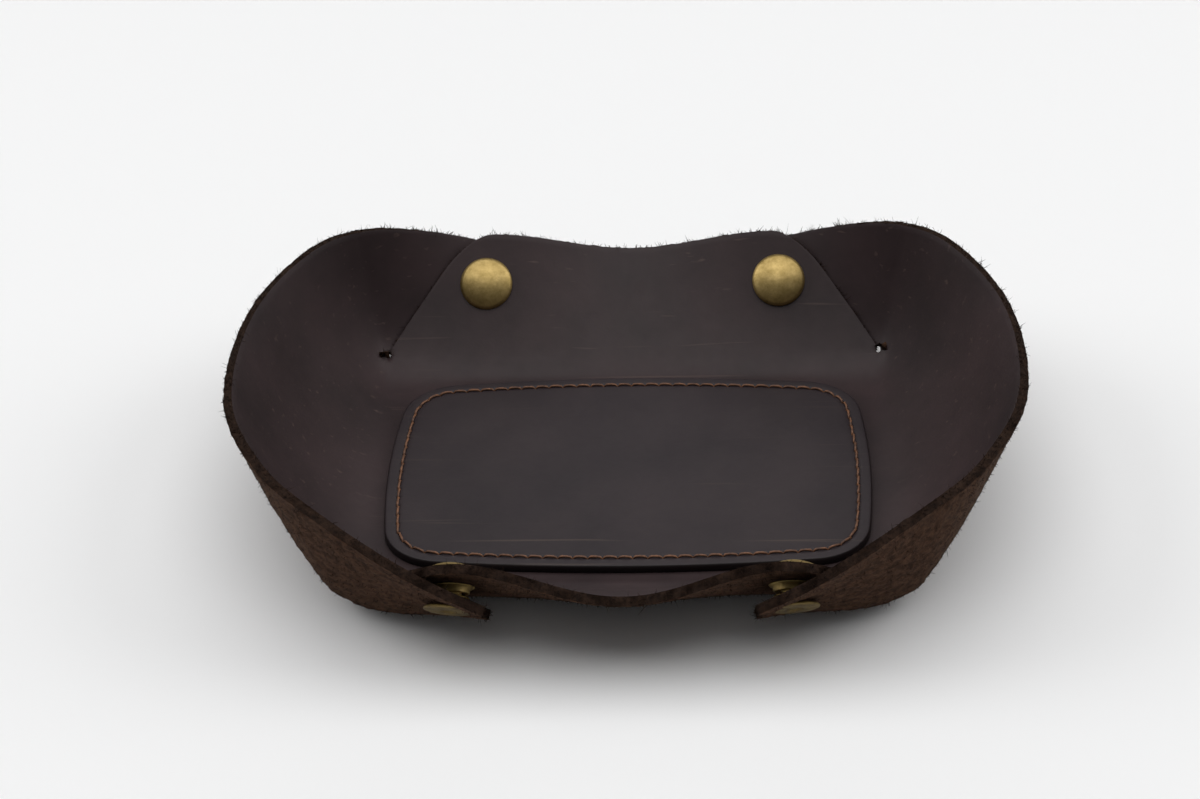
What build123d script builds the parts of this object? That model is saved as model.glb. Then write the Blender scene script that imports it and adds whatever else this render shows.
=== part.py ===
from build123d import *
import math
import os

# Valet tray: one sheet of leather, slit at four points and folded up into a dish.
# The ends of the sheet rise as wings, and each wing's corner tabs pass outside the
# long side panels, where a brass press stud holds each of them.
# Millimetres, +Z up, X along the tray, origin on the table under its middle.

# Leather sheet
leather_thickness = 2.0
floor_half_length = 55.0
floor_half_width = 37.6
relief_hole_diameter = 2.0
relief_hole_x = 58.5
relief_hole_y = 44.5
slit_clearance = 0.3

# Side panels, front and rear: the top edge dips and bows outward in its middle
panel_rise = 25.0
panel_reach = 26.3
panel_bend = 6.8
panel_middle_rise = 18.8
panel_middle_reach = 29.4
panel_middle_bend = 5.8
panel_corner_x = 39.0
panel_corner_radius = 4.0
panel_flat_half_width = 28.5
dip_station_share = 0.5
dip_share = 0.43

# End wings: the lip runs round each end and is highest near the corners
wing_reach = 30.3
wing_rise = 32.8
shoulder_lip_x = 77.0
shoulder_lip_y = 36.4
corner_lip_x = 64.4
corner_lip_y = 53.6
corner_lip_height = 35.4
corner_fall = 5.0
approach_lip_x = 52.2
approach_lip_y = 61.4
lip_end_outward_share = 0.25
lip_end_fall_share = 0.35
fold_overlap_share = 0.25
fold_middle_share = 0.5
fold_end_share = 0.95
slit_pull_x = 53.5
slit_pull_y = 48.2
slit_pull_height = 4.0
wing_bend_share = 0.48
corner_bend_share = 0.40
hole_lip_share = 0.69
fold_sections = 12
slit_sections = 8

# Corner tabs, each a flat flap beside the panel that it is snapped to
tab_root_x = 41.2
tab_root_gap = 0.25
tab_tilt = 5.0
tab_clearance = 0.1
tab_root_above_snap = 12.5
tab_root_below_snap = 9.0
tab_tip_above_snap = 8.0
tab_tip_below_snap = 8.0
tab_past_snap = 9.5
tab_tip_radius = 2.0

# Base pad and the seam that holds it: all four sides bow outward a little
pad_half_length = 54.3
pad_half_width = 35.8
pad_side_bow = 3.3
pad_end_bow = 2.7
pad_thickness = 2.0
pad_corner_radius = 13.0
pad_edge_round = 0.5
seam_inset = 3.0
stitch_pitch = 3.2
stitch_length = 2.4
thread_width = 0.8
thread_height = 0.5
groove_width = 1.2
groove_depth = 0.6

# Press studs: cap and socket on the panel, stud and post on the tab
snap_x = 35.0
snap_rise = 15.7
snap_layer_gap = 2.5
snap_bore_diameter = 3.4
cap_diameter = 12.5
cap_height = 2.9
cap_rim_height = 0.8
shank_diameter = 3.2
rolled_diameter = 4.4
rolled_height = 0.3
socket_diameter = 10.0
socket_flange_height = 0.5
socket_wall_diameter = 8.0
socket_height = 1.7
socket_mouth_diameter = 5.9
stud_flange_diameter = 8.2
stud_flange_height = 0.35
stud_head_diameter = 4.7
stud_neck_diameter = 4.3
stud_head_height = 1.2
stud_tip_diameter = 3.6
post_diameter = 10.5
post_height = 0.8
post_rim_height = 0.3
post_dimple_diameter = 4.0
post_dimple_depth = 0.4
seat_margin = 0.2

# One overrun serves every cut
overrun = 5.0

os.makedirs("parts", exist_ok=True)


def write_piece(piece, label):
    """Label a finished piece and write it under its name."""
    piece.label = label
    export_step(piece, "parts/" + label + ".step")


corner_names = ["rear_right", "rear_left", "front_right", "front_left"]


def corner_copies(piece):
    """The rear right piece and its mirrored copies for the other three corners."""
    rear_left = piece.mirror(Plane.YZ)
    return [piece, rear_left, piece.mirror(Plane.XZ), rear_left.mirror(Plane.XZ)]


def wall_section(foot, bend, lip, inner, outer):
    """Closed section of a wall between two offsets outward from its grain curve."""
    start = (bend - foot).normalized()
    end = (lip - bend).normalized()
    start_out = Vector(start.Y, -start.X)
    end_out = Vector(end.Y, -end.X)
    bend_out = (start_out + end_out) * (1 / (1 + start_out.dot(end_out)))
    with BuildLine() as outline:
        Bezier(foot + start_out * inner, bend + bend_out * inner, lip + end_out * inner)
        Line(lip + end_out * inner, lip + end_out * outer)
        Bezier(lip + end_out * outer, bend + bend_out * outer, foot + start_out * outer)
        Line(foot + start_out * outer, foot + start_out * inner)
    make_face(outline.edges())


# Side panels: the grain curve of the rear one is a parabola from the floor to the top edge
def panel_point(share):
    """Point of the panel's grain curve at a share of its parameter, near the snaps."""
    y = floor_half_width + 2 * share * (1 - share) * panel_bend + share**2 * panel_reach
    return Vector(0, y, leather_thickness + share**2 * panel_rise)


def panel_height(y):
    """Height of the panel's grain curve at a distance from the tray's middle line."""
    spread = panel_reach - 2 * panel_bend
    along = y - floor_half_width
    share = (math.sqrt(panel_bend**2 + spread * along) - panel_bend) / spread
    return leather_thickness + share**2 * panel_rise


relief_hole_z = panel_height(relief_hole_y)
panel_top = leather_thickness + panel_rise
panel_outermost = floor_half_width + max(panel_reach, panel_middle_reach) + 2 * leather_thickness


def panel_between(middle, side):
    """Value of a panel size at the station between its middle and its snaps."""
    return side + (middle - side) * dip_share


def panel_sheet(inner, outer, slit_margin):
    """Rear panel between two offsets from its grain face, its slit edges moved out by a margin."""
    half = [
        (
            dip_station_share * panel_corner_x,
            panel_between(panel_middle_reach, panel_reach),
            panel_between(panel_middle_rise, panel_rise),
            panel_bend,
        ),
        (panel_flat_half_width, panel_reach, panel_rise, panel_bend),
        (panel_corner_x, panel_reach, panel_rise, panel_bend),
        (relief_hole_x + slit_margin, panel_reach, panel_rise, panel_bend),
    ]
    middle = (0, panel_middle_reach, panel_middle_rise, panel_middle_bend)
    stations = [(-x, reach, rise, bend) for x, reach, rise, bend in reversed(half)] + [middle] + half
    with BuildPart() as sheet:
        for x, reach, rise, bend in stations:
            with BuildSketch(Plane(origin=(x, 0, 0), x_dir=(0, 1, 0), z_dir=(1, 0, 0))):
                foot = Vector(floor_half_width, leather_thickness)
                lip = foot + Vector(reach, rise)
                wall_section(foot, foot + Vector(bend, 0), lip, inner, outer)
        loft()
        # The slit edges, seen from the front: each runs up and inward from its relief hole
        hole_x = relief_hole_x + slit_margin
        with BuildSketch(Plane.XZ):
            with BuildLine():
                FilletPolyline(
                    (hole_x, relief_hole_z),
                    (panel_corner_x + slit_margin, panel_top),
                    (0, panel_top),
                    radius=panel_corner_radius,
                )
                Polyline(
                    (0, panel_top),
                    (0, panel_top + overrun),
                    (hole_x + overrun, panel_top + overrun),
                    (hole_x + overrun, -overrun),
                    (hole_x, -overrun),
                    (hole_x, relief_hole_z),
                )
            make_face()
            mirror(about=Plane.YZ)
        extrude(amount=-panel_outermost, mode=Mode.SUBTRACT)
    return sheet.part


rear_panel = panel_sheet(0, leather_thickness, 0)

# Where the snaps sit: on the panel's curve, along its normal
snap_share = math.sqrt(snap_rise / panel_rise)
snap_seat = panel_point(snap_share) + Vector(snap_x, 0, 0)
snap_up = Vector(
    0,
    (1 - snap_share) * panel_bend + snap_share * (panel_reach - panel_bend),
    snap_share * panel_rise,
).normalized()
snap_out = snap_up.cross(Vector(1, 0, 0))
snap_panel_frame = Plane(origin=snap_seat, x_dir=(1, 0, 0), z_dir=snap_out)

# The tab's grain face leans a little away from the panel towards its tip.
# Its frame has X towards the tip, Y up the flap and Z outward, from the snap's axis.
tilt_sine = math.sin(math.radians(tab_tilt))
tilt_cosine = math.cos(math.radians(tab_tilt))
tab_frame = Plane(
    origin=snap_seat + snap_out * (leather_thickness + snap_layer_gap),
    x_dir=Vector(-tilt_cosine, 0, 0) + snap_out * tilt_sine,
    z_dir=snap_out * tilt_cosine + Vector(tilt_sine, 0, 0),
)
tab_root = -(tab_root_x - snap_x) / tilt_cosine

with BuildPart() as rear_right_tab:
    with BuildSketch(tab_frame) as tab_outline:
        with BuildLine():
            Polyline(
                (tab_root, -tab_root_below_snap),
                (tab_past_snap, -tab_tip_below_snap),
                (tab_past_snap, tab_tip_above_snap),
                (tab_root, tab_root_above_snap),
                close=True,
            )
        make_face()
        fillet(tab_outline.vertices().group_by(Axis.X)[0], radius=tab_tip_radius)
        Circle(snap_bore_diameter / 2, mode=Mode.SUBTRACT)
    extrude(amount=leather_thickness)


# End wings: sections stand between a foot and the lip, which runs from the end's middle
# to the tab's root. The foot is the fold on the floor as far as the relief hole, and then
# the wing's edge of the slit.
root_foot = tab_frame.from_local_coords(Vector(tab_root - tab_root_gap, -tab_root_below_snap, 0))
root_lip = tab_frame.from_local_coords(Vector(tab_root - tab_root_gap, tab_root_above_snap, 0))
wing_foot_x = floor_half_length - fold_overlap_share * leather_thickness
hole_foot = Vector(relief_hole_x, relief_hole_y, relief_hole_z)
fold_rail = Bezier(
    (wing_foot_x, 0, leather_thickness),
    (wing_foot_x, relief_hole_y * fold_middle_share, leather_thickness),
    (wing_foot_x, relief_hole_y * fold_end_share, leather_thickness),
    hole_foot,
)
slit_rail = Bezier(hole_foot, (slit_pull_x, slit_pull_y, slit_pull_height), root_foot)
lip_rail = Spline(
    (floor_half_length + wing_reach, 0, leather_thickness + wing_rise),
    (shoulder_lip_x, shoulder_lip_y, corner_lip_height),
    (corner_lip_x, corner_lip_y, corner_lip_height),
    (approach_lip_x, approach_lip_y, corner_lip_height - corner_fall),
    root_lip,
    tangents=[(0, 1, 0), (-1, lip_end_outward_share, -lip_end_fall_share)],
)


def wing_section_at(foot, lip_share):
    """Plane and section points of the right wing from a foot to a share of its rear lip."""
    lip = lip_rail @ lip_share
    outward = Vector(lip.X - foot.X, lip.Y - foot.Y, 0)
    plane = Plane(
        origin=(foot.X, foot.Y, 0),
        x_dir=outward,
        z_dir=(outward.Y, -outward.X, 0),
    )
    start = Vector(0, foot.Z)
    end = Vector(outward.length, lip.Z)
    lift = corner_bend_share * lip_share**2 * (3 - 2 * lip_share)
    bend = Vector(end.X * wing_bend_share, start.Y + (end.Y - start.Y) * lift)
    return plane, start, bend, end


def mirrored_plane(plane):
    """The same plane on the front half of the tray, with X outward and Y up as before."""
    origin = Vector(plane.origin.X, -plane.origin.Y, plane.origin.Z)
    x_dir = Vector(plane.x_dir.X, -plane.x_dir.Y, plane.x_dir.Z)
    y_dir = Vector(plane.y_dir.X, -plane.y_dir.Y, plane.y_dir.Z)
    return Plane(origin=origin, x_dir=x_dir, z_dir=x_dir.cross(y_dir))


low = Vector(0, -tab_root_below_snap)
high = Vector(0, tab_root_above_snap)
root_section = (
    Plane(
        origin=tab_frame.from_local_coords(Vector(tab_root - tab_root_gap, 0, 0)),
        x_dir=tab_frame.z_dir,
        z_dir=tab_frame.z_dir.cross(tab_frame.y_dir),
    ),
    low,
    (low + high) / 2,
    high,
)
rear_half = [
    wing_section_at(fold_rail @ (i / fold_sections), hole_lip_share * i / fold_sections)
    for i in range(fold_sections)
]
for i in range(slit_sections):
    along = i / slit_sections
    rear_half.append(wing_section_at(slit_rail @ along, hole_lip_share + (1 - hole_lip_share) * along))
rear_half.append(root_section)
front_half = [(mirrored_plane(plane), *points) for plane, *points in rear_half[1:]]

with BuildPart() as right_wing:
    for plane, start, bend, end in list(reversed(rear_half)) + front_half:
        with BuildSketch(plane):
            wall_section(start, bend, end, 0, leather_thickness)
    loft(ruled=True)

# The slit: above its relief hole a wing keeps clear of the panel that it passes outside
with BuildPart() as slit_room:
    add(panel_sheet(-leather_thickness, leather_thickness + slit_clearance, slit_clearance))
    with Locations((0, relief_hole_y + panel_outermost / 2, 0)):
        Box(
            2 * (relief_hole_x + overrun),
            panel_outermost,
            2 * panel_outermost,
            mode=Mode.INTERSECT,
        )

# Base pad: a rounded rectangle whose sides bow outward a little
def pad_outline(inset):
    """Face of the pad's outline at the table's height, drawn in by an inset."""
    end = pad_half_length - inset
    side = pad_half_width - inset
    x = end - pad_end_bow
    y = side - pad_side_bow
    with BuildSketch(Plane.XY) as outline:
        with BuildLine():
            ThreePointArc((-x, y), (0, side), (x, y))
            ThreePointArc((x, y), (end, 0), (x, -y))
            ThreePointArc((x, -y), (0, -side), (-x, -y))
            ThreePointArc((-x, -y), (-end, 0), (-x, y))
        make_face()
        fillet(outline.vertices(), radius=pad_corner_radius - inset)
    return outline.sketch


with BuildPart() as base_pad:
    with BuildSketch(Plane.XY.offset(leather_thickness)):
        add(pad_outline(0))
    extrude(amount=pad_thickness)
    fillet(base_pad.faces().sort_by(Axis.Z)[-1].edges(), radius=pad_edge_round)

# The seam: a row of stitches round the pad, and the bobbin thread's row in a groove underneath
seam_wire = pad_outline(seam_inset).faces()[0].outer_wire()
stitch_count = round(seam_wire.length / stitch_pitch)
pad_top = leather_thickness + pad_thickness


def stitch_row(height):
    """Locations of all stitches of the seam at a height."""
    places = []
    for index in range(stitch_count):
        place = seam_wire @ (index / stitch_count)
        along = seam_wire % (index / stitch_count)
        turn = math.degrees(math.atan2(along.Y, along.X))
        places.append(Location((place.X, place.Y, height), (0, 0, turn)))
    return places


with BuildPart() as needle_thread:
    with Locations(*stitch_row(pad_top + thread_height / 2)):
        Box(stitch_length, thread_width, thread_height)

with BuildPart() as bobbin_thread:
    with Locations(*stitch_row(groove_depth - thread_height / 2)):
        Box(stitch_length, thread_width, thread_height)

with BuildPart() as seam_groove:
    with BuildSketch():
        add(pad_outline(seam_inset - groove_width / 2))
        add(pad_outline(seam_inset + groove_width / 2), mode=Mode.SUBTRACT)
    extrude(amount=groove_depth)

# Press studs, turned about the snap's axis: R along the panel, W outward through the layers
snap_axis = Axis(snap_seat, snap_out)
snap_section = Plane(origin=snap_seat, x_dir=(1, 0, 0), z_dir=snap_up)
stud_axis = Axis(tab_frame.origin, tab_frame.z_dir)
stud_section = Plane(
    origin=tab_frame.origin,
    x_dir=tab_frame.x_dir * -1,
    z_dir=tab_frame.x_dir.cross(tab_frame.z_dir) * -1,
)
socket_seat = leather_thickness
socket_floor = socket_seat + socket_flange_height
socket_top = socket_seat + socket_height
shank_end = socket_floor + rolled_height
stud_depth = stud_flange_height + stud_head_height

with BuildPart() as cap:
    with BuildSketch(snap_section):
        with BuildLine():
            Polyline((0, -cap_height), (0, shank_end), (rolled_diameter / 2, shank_end))
            Line((rolled_diameter / 2, shank_end), (rolled_diameter / 2, socket_floor))
            Line((rolled_diameter / 2, socket_floor), (shank_diameter / 2, socket_floor))
            Line((shank_diameter / 2, socket_floor), (shank_diameter / 2, 0))
            Line((shank_diameter / 2, 0), (cap_diameter / 2, 0))
            Line((cap_diameter / 2, 0), (cap_diameter / 2, -cap_rim_height))
            Spline(
                (cap_diameter / 2, -cap_rim_height),
                (0, -cap_height),
                tangents=[(-1, -1), (-1, 0)],
            )
        make_face()
    revolve(axis=snap_axis)

with BuildPart() as socket:
    with BuildSketch(snap_section):
        with BuildLine():
            Polyline(
                (snap_bore_diameter / 2, socket_seat),
                (socket_diameter / 2, socket_seat),
                (socket_diameter / 2, socket_floor),
                (socket_wall_diameter / 2, socket_floor),
                (socket_wall_diameter / 2, socket_top),
                (socket_mouth_diameter / 2, socket_top),
                (socket_mouth_diameter / 2, socket_floor),
                (snap_bore_diameter / 2, socket_floor),
                close=True,
            )
        make_face()
    revolve(axis=snap_axis)

with BuildPart() as stud:
    with BuildSketch(stud_section):
        with BuildLine():
            Polyline(
                (shank_diameter / 2, 0),
                (stud_flange_diameter / 2, 0),
                (stud_flange_diameter / 2, -stud_flange_height),
                (stud_neck_diameter / 2, -stud_flange_height),
                (stud_head_diameter / 2, -(stud_flange_height + stud_head_height / 2)),
                (stud_tip_diameter / 2, -stud_depth),
                (shank_diameter / 2, -stud_depth),
                close=True,
            )
        make_face()
    revolve(axis=stud_axis)

with BuildPart() as post:
    with BuildSketch(stud_section):
        with BuildLine():
            Line((0, -stud_depth), (0, leather_thickness + post_height - post_dimple_depth))
            Spline(
                (0, leather_thickness + post_height - post_dimple_depth),
                (post_dimple_diameter / 2, leather_thickness + post_height),
                tangents=[(1, 0), (1, 0)],
            )
            Spline(
                (post_dimple_diameter / 2, leather_thickness + post_height),
                (post_diameter / 2, leather_thickness + post_rim_height),
                tangents=[(1, 0), (1, -1)],
            )
            Polyline(
                (post_diameter / 2, leather_thickness + post_rim_height),
                (post_diameter / 2, leather_thickness),
                (shank_diameter / 2, leather_thickness),
                (shank_diameter / 2, -stud_depth),
                (0, -stud_depth),
            )
        make_face()
    revolve(axis=stud_axis)

# Bore through the panel, with the leather pressed flat under the cap and the socket
with BuildPart() as panel_snap_cuts:
    with BuildSketch(snap_panel_frame):
        Circle(snap_bore_diameter / 2)
    extrude(amount=overrun, both=True)
    with BuildSketch(snap_panel_frame):
        Circle(cap_diameter / 2 + seat_margin)
    extrude(amount=-overrun)
    with BuildSketch(snap_panel_frame.offset(leather_thickness)):
        Circle(socket_diameter / 2 + seat_margin)
    extrude(amount=snap_layer_gap - tab_clearance)

# A punch through the leather at each of the right wing's relief holes, and at its mirror image
with BuildPart() as relief_punch:
    with Locations((relief_hole_x, relief_hole_y, 0)):
        Cylinder(relief_hole_diameter / 2, 2 * (relief_hole_z + leather_thickness))
relief_punches = corner_copies(relief_punch.part)

# The rear panel with its four holes. They are cut while it is still alone, and the wings' holes
# too, because the same cuts in the joined sheet can fail at other sizes
with BuildPart() as bored_panel:
    add(rear_panel)
    add([*relief_punches[:2], *corner_copies(panel_snap_cuts.part)[:2]], mode=Mode.SUBTRACT)

# The leather body: floor, two panels and two wings are one sheet
with BuildPart() as leather_body:
    add(right_wing.part)
    add(slit_room.part, mode=Mode.SUBTRACT)
    mirror(slit_room.part, about=Plane.XZ, mode=Mode.SUBTRACT)
    add([relief_punches[0], relief_punches[2]], mode=Mode.SUBTRACT)
    mirror(about=Plane.YZ)
    with Locations((0, 0, leather_thickness / 2)):
        Box(2 * (wing_foot_x + leather_thickness), 2 * floor_half_width, leather_thickness)
    add(bored_panel.part)
    mirror(bored_panel.part, about=Plane.XZ)
    add(seam_groove.part, mode=Mode.SUBTRACT)

print("body", len(leather_body.part.solids()), leather_body.part.is_valid, leather_body.part.volume)
write_piece(leather_body.part, "leather_body")
write_piece(base_pad.part, "base_pad")
write_piece(needle_thread.part, "needle_thread")
write_piece(bobbin_thread.part, "bobbin_thread")
for corner, tab, cap_copy, socket_copy, stud_copy, post_copy in zip(
    corner_names,
    corner_copies(rear_right_tab.part),
    corner_copies(cap.part),
    corner_copies(socket.part),
    corner_copies(stud.part),
    corner_copies(post.part),
):
    write_piece(tab, corner + "_tab")
    write_piece(cap_copy, corner + "_snap_cap")
    write_piece(socket_copy, corner + "_snap_socket")
    write_piece(stud_copy, corner + "_snap_stud")
    write_piece(post_copy, corner + "_snap_post")

print("stitches", stitch_count, "seam length", seam_wire.length)
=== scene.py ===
# %% [markdown]
# A leather valet tray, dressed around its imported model.
# The real thing is one sheet of oiled leather, slit at four points and folded up into a dish.
# Press studs hold its corners, and a second, thinner pad of leather is sewn to its floor.
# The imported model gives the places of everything. This script gives every surface its looks.

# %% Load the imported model
import math

import bmesh
import bpy
import numpy as np
from mathutils import Matrix, Vector


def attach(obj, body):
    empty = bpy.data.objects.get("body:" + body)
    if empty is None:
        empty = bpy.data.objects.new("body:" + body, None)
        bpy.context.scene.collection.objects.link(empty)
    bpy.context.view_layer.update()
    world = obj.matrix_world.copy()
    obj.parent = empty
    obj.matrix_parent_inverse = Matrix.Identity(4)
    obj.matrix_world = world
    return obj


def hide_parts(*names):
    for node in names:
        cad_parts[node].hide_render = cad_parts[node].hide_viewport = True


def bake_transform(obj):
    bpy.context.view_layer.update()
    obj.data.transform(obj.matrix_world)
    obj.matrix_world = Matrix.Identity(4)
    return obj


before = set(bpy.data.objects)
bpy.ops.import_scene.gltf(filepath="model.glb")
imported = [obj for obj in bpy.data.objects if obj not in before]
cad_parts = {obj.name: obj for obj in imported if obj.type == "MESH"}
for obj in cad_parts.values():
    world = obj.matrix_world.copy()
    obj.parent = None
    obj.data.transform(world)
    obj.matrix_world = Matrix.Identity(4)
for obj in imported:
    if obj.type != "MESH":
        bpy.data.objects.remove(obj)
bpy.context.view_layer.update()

MM = 0.001
random = np.random.default_rng(4)

# %% [markdown]
# Everything soft here starts as a grid of points that a formula places.
# A plane pushed about by hand could do it too, but a formula can be read, changed and mirrored.
# These helpers turn grids of millimetre points into meshes.

# %% Make a mesh object from grids


def smooth_step(values):
    """Ease from 0 to 1 with no corner at either end."""
    values = np.clip(values, 0, 1)
    return values * values * (3 - 2 * values)


def curve_through(points, shares):
    """Points of a smooth curve through the given ones, at shares of its chord length."""
    points = np.array(points, float)
    steps = np.linalg.norm(np.diff(points, axis=0), axis=1)
    chord = np.concatenate([[0], np.cumsum(steps)]) / steps.sum()
    slopes = np.gradient(points, chord, axis=0)
    span = np.clip(np.searchsorted(chord, shares, side="right") - 1, 0, len(points) - 2)
    width = (chord[span + 1] - chord[span])[:, None]
    t = (np.asarray(shares)[:, None] - chord[span][:, None]) / width
    return (
        (2 * t**3 - 3 * t**2 + 1) * points[span]
        + (t**3 - 2 * t**2 + t) * width * slopes[span]
        + (3 * t**2 - 2 * t**3) * points[span + 1]
        + (t**3 - t**2) * width * slopes[span + 1]
    )


def grid_faces(rows, columns, start=0, wrap=False):
    """Quads of a grid whose points are numbered row by row. A wrapped grid closes along its rows."""
    last = columns if wrap else columns - 1
    return [
        (
            start + row * columns + column,
            start + row * columns + (column + 1) % columns,
            start + (row + 1) * columns + (column + 1) % columns,
            start + (row + 1) * columns + column,
        )
        for row in range(rows - 1)
        for column in range(last)
    ]


def make_object(name, points, faces, materials, smooth=True):
    """A mesh object from points in millimetres, with its materials."""
    mesh = bpy.data.meshes.new(name)
    mesh.from_pydata((np.asarray(points, float).reshape(-1, 3) * MM).tolist(), [], faces)
    for material in materials:
        mesh.materials.append(material)
    mesh.polygons.foreach_set("use_smooth", [smooth] * len(mesh.polygons))
    made = bpy.data.objects.new(name, mesh)
    bpy.context.scene.collection.objects.link(made)
    return made


def apply_modifiers(made):
    """Turn an object's modifiers into its mesh."""
    graph = bpy.context.evaluated_depsgraph_get()
    mesh = bpy.data.meshes.new_from_object(made.evaluated_get(graph))
    made.modifiers.clear()
    made.data = mesh


# %% [markdown]
# Materials come next. Each is a Principled shader, with patterns that set its colour, roughness and bump.
# A picture of leather could be wrapped round the tray instead, but a procedural pattern needs no
# unwrapping and has its true scale everywhere. One helper adds a node, sets it and links it.

# %% Helpers for materials


def linear(code):
    """An sRGB hex colour as the linear colour that a shader takes."""
    values = [int(code[place : place + 2], 16) / 255 for place in (1, 3, 5)]
    return (*[v / 12.92 if v <= 0.04045 else ((v + 0.055) / 1.055) ** 2.4 for v in values], 1)


def add(tree, kind, inputs, **settings):
    """Add a shader node with its settings. Inputs hold values, or outputs of other nodes to link."""
    made = tree.nodes.new("ShaderNode" + kind)
    for name, value in settings.items():
        setattr(made, name, value)
    for key, value in inputs.items():
        if isinstance(value, bpy.types.NodeSocket):
            tree.links.new(value, made.inputs[key])
        else:
            made.inputs[key].default_value = value
    return made


def new_material(name):
    """An empty node material, its tree and its Principled shader."""
    material = bpy.data.materials.new(name)
    material.use_nodes = True
    return material, material.node_tree, material.node_tree.nodes["Principled BSDF"]


# %% [markdown]
# The grain side is oiled full-grain cowhide, drum-dyed a dark espresso and rubbed with wax.
# To the eye that gives a dark brown with a soft, cool sheen, fine pores, faint cloudy patches
# where the oil has moved, and pale scuffs where the wax is scratched.
# Pores are about 0.45 mm apart on cowhide. They are drawn 0.6 mm apart, so that they show.

# %% Oiled leather, grain side
pore_spacing = 0.6 * MM
crease_spacing = 2.6 * MM
patch_size = 24 * MM
scuff_length = 16 * MM
scuff_width = 0.5 * MM


def oiled_grain(name, dark, light, scuff, roughness):
    """Oiled full-grain leather: pores, creases, cloudy oil and pale scuffs."""
    material, tree, shader = new_material(name)
    place = add(tree, "TexCoord", {}).outputs["Object"]
    patches = add(
        tree, "TexNoise", {"Vector": place, "Scale": 1 / patch_size, "Detail": 4, "Roughness": 0.6}
    )
    oil = add(tree, "MapRange", {"Value": patches.outputs[0], 1: 0.32, 2: 0.68})
    body = add(
        tree, "Mix", {0: oil.outputs[0], 6: linear(dark), 7: linear(light)}, data_type="RGBA"
    )
    stretched = add(
        tree,
        "Mapping",
        {"Vector": place, "Rotation": (0, 0, 0.5), "Scale": (scuff_width / scuff_length, 1, 1)},
    )
    lines = add(
        tree,
        "TexNoise",
        {"Vector": stretched.outputs[0], "Scale": 0.35 / scuff_width, "Detail": 2, "Distortion": 0.3},
    )
    scuffs = add(tree, "MapRange", {"Value": lines.outputs[0], 1: 0.66, 2: 0.78, 4: 0.55})
    color = add(
        tree,
        "Mix",
        {0: scuffs.outputs[0], 6: body.outputs[2], 7: linear(scuff)},
        data_type="RGBA",
    )
    pores = add(
        tree, "TexVoronoi", {"Vector": place, "Scale": 1 / pore_spacing}, feature="SMOOTH_F1"
    )
    creases = add(
        tree,
        "TexNoise",
        {"Vector": place, "Scale": 1 / crease_spacing, "Detail": 5, "Distortion": 0.6},
    )
    relief = add(
        tree,
        "Math",
        {0: pores.outputs["Distance"], 1: 0.5, 2: creases.outputs[0]},
        operation="MULTIPLY_ADD",
    )
    bump = add(
        tree, "Bump", {"Height": relief.outputs[0], "Strength": 0.32, "Distance": 0.06 * MM}
    )
    gloss = add(
        tree, "MapRange", {"Value": creases.outputs[0], 3: roughness - 0.07, 4: roughness + 0.09}
    )
    tree.links.new(color.outputs[2], shader.inputs["Base Color"])
    tree.links.new(gloss.outputs[0], shader.inputs["Roughness"])
    tree.links.new(bump.outputs[0], shader.inputs["Normal"])
    shader.inputs["IOR"].default_value = 1.47
    shader.inputs["Specular IOR Level"].default_value = 0.32
    return material


sheet_grain = oiled_grain("oiled_leather_grain", "#2b2122", "#392c2d", "#574742", 0.52)
pad_grain = oiled_grain("pad_leather_grain", "#272023", "#31292b", "#4f433c", 0.48)

# %% [markdown]
# The flesh side is the same hide seen from behind: suede, split and left rough.
# Its nap scatters light, so it looks warm and dull, and it clumps into darker and lighter tufts
# one or two millimetres wide. The cut edge shows the hide's fibres between the two.

# %% Suede flesh side, cut edge and fibres
tuft_size = 1.5 * MM
nap_size = 0.35 * MM


def fibrous(name, dark, light, height, sheen):
    """Suede or cut hide: tufts that vary in colour, and a rough nap."""
    material, tree, shader = new_material(name)
    place = add(tree, "TexCoord", {}).outputs["Object"]
    tufts = add(
        tree, "TexNoise", {"Vector": place, "Scale": 1 / tuft_size, "Detail": 6, "Roughness": 0.7}
    )
    share = add(tree, "MapRange", {"Value": tufts.outputs[0], 1: 0.34, 2: 0.66})
    color = add(
        tree, "Mix", {0: share.outputs[0], 6: linear(dark), 7: linear(light)}, data_type="RGBA"
    )
    nap = add(tree, "TexNoise", {"Vector": place, "Scale": 1 / nap_size, "Detail": 3})
    relief = add(
        tree,
        "Math",
        {0: nap.outputs[0], 1: 0.5, 2: tufts.outputs[0]},
        operation="MULTIPLY_ADD",
    )
    bump = add(tree, "Bump", {"Height": relief.outputs[0], "Strength": 0.8, "Distance": height})
    tree.links.new(color.outputs[2], shader.inputs["Base Color"])
    tree.links.new(bump.outputs[0], shader.inputs["Normal"])
    shader.inputs["Roughness"].default_value = 0.92
    shader.inputs["Specular IOR Level"].default_value = 0.08
    shader.inputs["Sheen Weight"].default_value = sheen
    shader.inputs["Sheen Roughness"].default_value = 0.6
    shader.inputs["Sheen Tint"].default_value = linear("#8a6a50")
    return material


suede = fibrous("suede_flesh_side", "#211713", "#4d372a", 0.5 * MM, 0.1)
cut_hide = fibrous("cut_hide_edge", "#1b1310", "#33251d", 0.3 * MM, 0.03)
burnished_edge = oiled_grain("burnished_pad_edge", "#181314", "#221b1b", "#352b29", 0.35)

# %% [markdown]
# The seam is waxed polyester thread in tan brown. The studs are brass, chemically darkened and
# then tumbled, so high spots are bright and hollows stay brown, with a fine sand-like grain.
# The posts on the outside get a darker copy of the brass: painted shade, because they face down into
# shadow.

# %% Waxed thread and antique brass
brass_grain = 0.28 * MM
brass_patch = 2.2 * MM


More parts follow.
